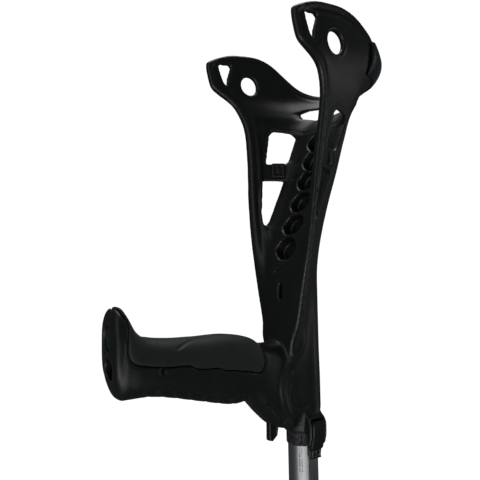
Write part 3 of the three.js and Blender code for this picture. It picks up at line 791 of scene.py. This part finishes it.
# ---------------------------------------------------------------------------------------------
# Pairing hook
# A tooth of the same black nylon clipped into the web in front of the leg; two crutches hang
# together by it. Its tip is cut off on a slant, and each side has a shallow sinking.
# ---------------------------------------------------------------------------------------------
def hook_field(x, y, h):
    """The tooth's outline in the plane of the handle, 5.2 thick with rounded edges."""
    tooth = in_outline([(-32, 15.1), (-32.2, -2.7), (-29.1, -3.6), (-24.9, 0), (-23.8, 5.6),
                        (-23.8, 15.1)], x, h)
    body = keep(tooth, np.abs(y) - 2.6, 1.4)
    return body + 0.7 * fade(-tooth, 1.2, 2.0) * (np.abs(y) > 1.2) * (h < 9)


axes = grid((-34, -4, -5), (-22, 4, 17), 0.33)
hook = skin("pairing_hook_tooth", hook_field(*axes), axes, black_nylon, mouth)
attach(hook, "upper")
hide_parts("pairing_hook")

# ---------------------------------------------------------------------------------------------
# Mouth bush
# A split acetal sleeve that guides the leg; its grey-black collar shows below the socket.
# ---------------------------------------------------------------------------------------------
def acetal():
    """Turned acetal: dark grey and waxy, with fine turning rings and a few pale scuffs."""
    material, tree, shader, place = new_material("turned_acetal")
    flat = add_node(tree, "ShaderNodeMapping", vector=place)
    flat.inputs["Scale"].default_value = (12, 12, 2600)
    rings = noise(tree, flat.outputs[0], 1.0, 3.0)
    scuff = noise(tree, place, 420.0, 5.0)
    tone = add_node(tree, "ShaderNodeValToRGB", in_0=scuff)
    tone.color_ramp.elements[0].position, tone.color_ramp.elements[1].position = 0.42, 0.68
    tone.color_ramp.elements[0].color = linear("#17171a")
    tone.color_ramp.elements[1].color = linear("#4c4c54")
    gloss = between(tree, rings, 0.38, 0.6)
    relief = bumps(tree, rings, 0.3, 0.0001)
    finish_surface(tree, shader, tone.outputs["Color"], gloss, relief)
    shader.inputs["IOR"].default_value = 1.48
    return material


def evaluated(source):
    """The plain mesh of an object with its modifiers applied."""
    return bpy.data.meshes.new_from_object(source.evaluated_get(bpy.context.evaluated_depsgraph_get()))


def settle(target):
    """Makes what an object's modifiers give its own mesh."""
    shape = evaluated(target)
    target.modifiers.clear()
    target.data = shape


def heights(node):
    """The lowest and highest point of a CAD node, in millimetres above the floor."""
    return (value[2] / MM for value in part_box(node))


def cut_with(target, cutter):
    """Takes the cutter out of the target for good and removes it."""
    modifier = target.modifiers.new("cut", "BOOLEAN")
    modifier.operation, modifier.solver, modifier.object = "DIFFERENCE", "EXACT", cutter
    settle(target)
    bpy.data.objects.remove(cutter)


dark_acetal = acetal()
bush_low, bush_high = heights("mouth_bush")
bush = spun("mouth_bush_sleeve", [
    (11.25, bush_low + 0.5), (11.6, bush_low), (11.85, bush_low), (12.05, bush_low + 0.3),
    (12.05, bush_high - 0.3), (11.9, bush_high), (11.45, bush_high), (11.25, bush_high - 0.3)],
    dark_acetal, 96)
slit = spun("slit", rounded_rod(0.45, 30, 0.05), dark_acetal, 12,
            Matrix.Translation((-0.0117 * math.sin(0.75), -0.0117 * math.cos(0.75), bush_low * MM)))
cut_with(bush, slit)
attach(bush, "upper")
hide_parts("mouth_bush")

# ---------------------------------------------------------------------------------------------
# Side lever
# A black nylon lever hinged in the socket's ears; squeezing it out draws its peg from the leg.
# The head bulges round the pin, and the tongue below has upright ribs for the fingertip.
# ---------------------------------------------------------------------------------------------
def lever_field(x, y, h):
    """The lever's side outline with a cover over the spring, ribs and the peg's seat."""
    half_width, pin_y, pin_h = 5.8, pivot[1] / MM, pivot[2] / MM - mouth
    outline = [(-13.95, 5.5), (-13.95, -0.6), (-12.7, -1.4), (-12.7, -10.4), (-12, -11),
               (-11.9, -17), (-12.7, -18), (-15.1, -17.8), (-16.2, -12), (-17.6, -6.5),
               (-19.1, -1), (-19.4, 6), (-19.1, 9), (-18.4, 9), (-18.4, 6)]
    body = in_outline(outline, y, h)
    body = keep(body, np.abs(x) - half_width + 0.4 * fade(-h, 9, 12), 1.4)
    head = keep(np.hypot(y - pin_y, h - pin_h) - 2.4, np.abs(x) - half_width, 0.8)
    body = join(body, head, 0.8)
    ribs = 0.9 * (0.5 - 0.5 * np.cos(x * 2 * np.pi / 3.2)) * fade(-h, 10.6, 12) * fade(h, -17.4, -16.6)
    body = body + ribs * (y < -13.6)
    dish = 0.5 * hump(np.hypot(x / 3.8, (h + 4) / 4.4), 1) * (y < -15)
    body = body + dish
    body = cut(body, np.hypot(y - pin_y, h - pin_h) - 1.3, 0.3)
    body = cut(body, np.maximum(np.maximum(np.abs(x) - 2.7, 3.3 - h), -18.45 - y), 0.3)
    lid = keep(keep(np.abs(y + 17.4) - 2, np.abs(h - 8.7) - 0.5, 0.3), np.abs(x) - 5.5, 0.4)
    body = join(body, lid, 0.3)
    return cut(body, np.maximum(np.hypot(x, h + 13) - 2.8, -15 - y), 0.3)


axes = grid((-6.6, -20.2, -19), (6.6, -10.6, 10), 0.3)
lever = skin("adjuster_lever_body", lever_field(*axes), axes, black_nylon, mouth)
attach(lever, "lever")
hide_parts("adjuster_lever")

# ---------------------------------------------------------------------------------------------
# Locking peg, lever pin and spring
# Steel: the zinc-plated peg is pressed into the lever and drops into a hole of the leg, the blackened
# pin joins lever and ears, and the zinc-plated torsion spring round the pin keeps the lever shut.
# ---------------------------------------------------------------------------------------------
plated = metal("zinc_plated_steel", "#a9acae", "#83868a", 0.3, (1200, 1200, 1200))
low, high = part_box("locking_peg")
peg = spun("locking_peg_steel", rounded_rod(2.5, (high[1] - low[1]) / 2 / MM, 0.5), plated, 40,
           lying("locking_peg", (0, 1, 0)))
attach(peg, "lever")
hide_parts("locking_peg")
low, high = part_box("lever_pin")
axle = spun("lever_pin_steel", rounded_rod(1, (high[0] - low[0]) / 2 / MM, 0.2), black_steel, 24,
            lying("lever_pin", (1, 0, 0)))
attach(axle, "upper")
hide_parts("lever_pin")


def coil(name, radius, length, turns, wire, centre, material):
    """A round wire wound about X, as a mesh with closed ends."""
    line = bpy.data.curves.new(name, "CURVE")
    line.dimensions = "3D"
    line.bevel_depth = wire * MM
    line.bevel_resolution = 4
    line.use_fill_caps = True
    path = line.splines.new("POLY")
    count = 120
    path.points.add(count - 1)
    for i, point in enumerate(path.points):
        angle = i / (count - 1) * turns * 2 * math.pi
        along = (i / (count - 1) - 0.5) * length
        point.co = (along * MM, radius * math.cos(angle) * MM, radius * math.sin(angle) * MM, 1)
    wound = new_object(name + "_line", line)
    shape = evaluated(wound)
    bpy.data.objects.remove(wound)
    shape.transform(Matrix.Translation(centre))
    smooth(shape)
    shape.materials.clear()
    shape.materials.append(material)
    return new_object(name, shape)


spring = coil("lever_spring_wire", 1.6, 4.2, 3, 0.25, pivot, plated)
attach(spring, "upper")
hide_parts("lever_spring")

# ---------------------------------------------------------------------------------------------
# Leg tube
# Drawn aluminium, matt silver anodised, with ten holes right through it for the peg.
# The row of drills is a Geometry Nodes tree, so that count and pitch can be changed.
# ---------------------------------------------------------------------------------------------
def anodised_aluminium():
    """Satin anodised tube: long faint draw lines and a soft, even grey with slight clouding."""
    return metal("satin_anodised_aluminium", "#b9babb", "#a3a4a6", 0.4, (2600, 2600, 26))


def node_tree(name, inputs):
    """A geometry tree with named inputs given as (name, socket type); returns it and its two ends."""
    tree = bpy.data.node_groups.new(name, "GeometryNodeTree")
    for label, kind in inputs:
        tree.interface.new_socket(label, in_out="INPUT", socket_type=kind)
    tree.interface.new_socket("Geometry", in_out="OUTPUT", socket_type="NodeSocketGeometry")
    return tree, tree.nodes.new("NodeGroupInput"), tree.nodes.new("NodeGroupOutput")


def copied(tree, start, end, **where):
    """Ends a tree with copies of one piece on points, made real and given the tree's material."""
    copies = add_node(tree, "GeometryNodeInstanceOnPoints", **where)
    real = add_node(tree, "GeometryNodeRealizeInstances", geometry=copies.outputs[0])
    painted = add_node(tree, "GeometryNodeSetMaterial", geometry=real.outputs[0],
                       material=start.outputs["Material"])
    tree.links.new(painted.outputs[0], end.inputs[0])
    return tree


def grown(name, tree, values):
    """The plain mesh object that a geometry tree makes from these input values."""
    host = new_object(name, bpy.data.meshes.new(name))
    modifier = host.modifiers.new("tree", "NODES")
    modifier.node_group = tree
    for item in tree.interface.items_tree:
        if item.item_type == "SOCKET" and item.in_out == "INPUT" and item.name in values:
            modifier[item.identifier] = values[item.name]
    settle(host)
    return host


def drill_row():
    """A row of cylinders across the leg, going down from the first hole."""
    tree, start, end = node_tree("row_of_drills", [
        ("First", "NodeSocketFloat"), ("Pitch", "NodeSocketFloat"), ("Count", "NodeSocketInt"),
        ("Radius", "NodeSocketFloat"), ("Material", "NodeSocketMaterial")])
    down = add_node(tree, "ShaderNodeMath", {"operation": "MULTIPLY"}, in_0=start.outputs["Pitch"],
                    in_1=-1.0)
    first = add_node(tree, "ShaderNodeCombineXYZ", z=start.outputs["First"])
    step = add_node(tree, "ShaderNodeCombineXYZ", z=down.outputs[0])
    row = add_node(tree, "GeometryNodeMeshLine", count=start.outputs["Count"],
                   start_location=first.outputs[0], offset=step.outputs[0])
    drill = add_node(tree, "GeometryNodeMeshCylinder", vertices=40, radius=start.outputs["Radius"],
                     depth=0.05)
    laid = add_node(tree, "GeometryNodeTransform", geometry=drill.outputs["Mesh"],
                    rotation=(math.pi / 2, 0, 0))
    return copied(tree, start, end, points=row.outputs[0], instance=laid.outputs[0])


anodised = anodised_aluminium()
leg_low, leg_high = heights("leg_tube")
peg_height, pitch, hole_count = mouth - 13, 25, 10
highest = peg_height + pitch * math.floor((leg_high - peg_height - 6.8) / pitch)
leg = spun("leg_tube_drawn", [(9.6, leg_low + 0.4), (10, leg_low), (10.6, leg_low),
                              (11, leg_low + 0.4), (11, leg_high - 0.4), (10.6, leg_high),
                              (10, leg_high), (9.6, leg_high - 0.4)], anodised, 96)
drills = grown("drills", drill_row(), {"First": highest * MM, "Pitch": pitch * MM,
                                       "Count": hole_count, "Radius": 3.4 * MM,
                                       "Material": anodised})
cut_with(leg, drills)


def break_edges(made, width, steepest, sharp):
    """Bevels the edges steeper than an angle for good, and keeps only those past sharp crisp."""
    edges = made.modifiers.new("broken_edges", "BEVEL")
    edges.width, edges.segments, edges.limit_method = width * MM, 2, "ANGLE"
    edges.angle_limit = math.radians(steepest)
    settle(made)
    smooth(made.data)
    made.data.set_sharp_from_angle(angle=math.radians(sharp))


break_edges(leg, 0.25, 50, 32)
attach(leg, "leg")
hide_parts("leg_tube")

# ---------------------------------------------------------------------------------------------
# Print on the leg
# Black screen print: rows of short generic bars along the leg, and a size number at each hole.
# ---------------------------------------------------------------------------------------------
def printed_ink():
    """Thin matt black ink, a little grey and broken where it has rubbed."""
    material, tree, shader, place = new_material("screen_printed_ink")
    rub = noise(tree, place, 1400.0, 2.0)
    tone = blend(tree, rub, "#1c1b1a", "#4c4a47")
    gloss = between(tree, rub, 0.5, 0.75)
    relief = bumps(tree, rub, 0.1, 0.0001)
    finish_surface(tree, shader, tone, gloss, relief)
    return material


def bar_row():
    """A line of thin bars of uneven length in the XY plane, like a line of small print."""
    tree, start, end = node_tree("line_of_bars", [
        ("Count", "NodeSocketInt"), ("Pitch", "NodeSocketFloat"), ("Seed", "NodeSocketInt"),
        ("Tall", "NodeSocketFloat"), ("Material", "NodeSocketMaterial")])
    step = add_node(tree, "ShaderNodeCombineXYZ", x=start.outputs["Pitch"])
    row = add_node(tree, "GeometryNodeMeshLine", count=start.outputs["Count"], offset=step.outputs[0])
    wide = add_node(tree, "ShaderNodeMath", {"operation": "MULTIPLY"}, in_0=start.outputs["Pitch"],
                    in_1=0.62)
    bar = add_node(tree, "GeometryNodeMeshGrid", size_x=wide.outputs[0], size_y=start.outputs["Tall"],
                   vertices_x=2, vertices_y=2)
    uneven = add_node(tree, "FunctionNodeRandomValue", {"data_type": "FLOAT"}, in_2=0.35, in_3=1.0,
                      seed=start.outputs["Seed"])
    size = add_node(tree, "ShaderNodeCombineXYZ", x=uneven.outputs[1], y=uneven.outputs[1], z=1.0)
    return copied(tree, start, end, points=row.outputs[0], instance=bar.outputs["Mesh"],
                  scale=size.outputs[0])


def wrapped(shape, angle, height, radius):
    """Bends a flat mesh, x along the leg and y round it, on to the leg at an angle from -Y."""
    for vertex in shape.vertices:
        along, round_it, _ = vertex.co
        a = angle + round_it / radius
        vertex.co = (radius * math.sin(a), -radius * math.cos(a), height + along)


def number(text, size):
    """A generic number as a flat mesh."""
    line = bpy.data.curves.new("number", "FONT")
    line.body, line.size, line.align_x, line.align_y = text, size, "CENTER", "CENTER"
    source = new_object("number", line)
    shape = evaluated(source)
    bpy.data.objects.remove(source)
    return shape


ink = printed_ink()
print_radius = 11.04 * MM
bars = bar_row()
prints = []
lines = [(-0.93, -11.2, 7, 1), (-0.8, -11.2, 5, 2), (-0.93, -19.5, 9, 3), (-0.76, -19.5, 9, 4),
         (-0.3, -15.2, 3, 5), (-0.17, -15.2, 5, 6), (-0.3, -24, 7, 7), (0.5, -28, 8, 8)]
for angle, top, count, seed in lines:
    strip = grown("print", bars, {"Count": count, "Pitch": -1.0 * MM, "Seed": seed,
                                  "Tall": 1.1 * MM, "Material": ink})
    wrapped(strip.data, angle, (mouth + top) * MM, print_radius)
    prints.append(strip)
for i in range(hole_count):
    label = number(str(i + 1), 3.4 * MM)
    label.transform(Matrix.Rotation(math.pi / 2, 4, "Z"))
    label.materials.clear()
    label.materials.append(ink)
    wrapped(label, 0.62, (highest - i * pitch) * MM, print_radius)
    prints.append(new_object("print", label))
whole = bmesh.new()
for strip in prints:
    whole.from_mesh(strip.data)
    bpy.data.objects.remove(strip)
bmesh.ops.triangulate(whole, faces=whole.faces)
for face in whole.faces:
    middle = face.calc_center_median()
    if face.normal.dot(Vector((middle.x, middle.y, 0))) < 0:
        face.normal_flip()
shape = bpy.data.meshes.new("leg_print")
whole.to_mesh(shape)
whole.free()
shape.materials.append(ink)
legend = new_object("leg_print", shape)
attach(legend, "leg")

# ---------------------------------------------------------------------------------------------
# Tube cap
# A dark acetal plug in the leg's upper end, which runs in the socket's bore.
# ---------------------------------------------------------------------------------------------
cap_low, cap_high = heights("tube_cap")
cap = spun("tube_cap_plug", [(0, cap_low), (9.0, cap_low), (9.3, cap_low + 0.3), (9.3, leg_high + 0.3),
                             (10.8, leg_high + 0.3), (11, leg_high + 0.5), (11, cap_high - 1),
                             (10.6, cap_high - 0.4), (9.8, cap_high), (0, cap_high)], dark_acetal)
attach(cap, "leg")
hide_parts("tube_cap")

# ---------------------------------------------------------------------------------------------
# Ferrule and washer
# A moulded rubber foot pushed on the leg: a bell with a rolled collar, grip rings up the neck and
# a tread of concentric ribs underneath. A steel washer inside spreads the load.
# ---------------------------------------------------------------------------------------------
def dusty_rubber():
    """Matt black rubber, greyer with dust low down, with a soft mottled skin."""
    material, tree, shader, place = new_material("moulded_dusty_rubber")
    parts = add_node(tree, "ShaderNodeSeparateXYZ", in_0=place)
    dust = noise(tree, place, 130.0, 5.0)
    lower = between(tree, parts.outputs["Z"], 0.85, 0.15, 0.0, 0.03)
    amount = add_node(tree, "ShaderNodeMath", {"operation": "MULTIPLY"}, in_0=lower,
                      in_1=dust)
    tone = blend(tree, amount.outputs[0], "#18181a", "#4a4845")
    gloss = between(tree, dust, 0.62, 0.85)
    relief = bumps(tree, dust, 0.3, 0.0003)
    finish_surface(tree, shader, tone, gloss, relief)
    return material


rubber = dusty_rubber()
profile = [(0, 1.6)]
for r in (4, 8, 12, 16):
    profile += [(r - 1.4, 1.6), (r - 1.1, 0), (r + 1.1, 0), (r + 1.4, 1.6)]
profile += [(18.2, 1.6), (18.4, 0.2), (19.2, 0.2), (19.8, 0.8), (20, 1.8), (20, 5.6), (19.6, 6.8),
            (17.8, 9.6), (16.4, 12.6), (15.2, 15.6)]
for z in (18, 22, 26, 30, 34):
    profile += [(14.2, z), (14.2, z + 1.6), (13.6, z + 2), (13.6, z + 3.4)]
profile += [(14.2, 38.6), (14.2, 41), (14.8, 42), (14.8, 44.6), (14.3, 45.6), (13.4, 46),
            (12, 46), (11.3, 45.4), (11.3, 8), (0, 8)]
foot = spun("ferrule_rubber", profile, rubber, 96)
break_edges(foot, 0.35, 28, 45)
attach(foot, "leg")
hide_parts("ferrule")
washer_low, washer_high = heights("ferrule_washer")
washer = spun("ferrule_washer_steel", [(0, washer_low), (10.4, washer_low), (10.7, washer_low + 0.3),
                                       (10.7, washer_high - 0.3), (10.4, washer_high),
                                       (0, washer_high)], plated)
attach(washer, "leg")
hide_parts("ferrule_washer")

# ---------------------------------------------------------------------------------------------
# Sizes and the end
# The finished object's box is measured.
# ---------------------------------------------------------------------------------------------
low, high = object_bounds()
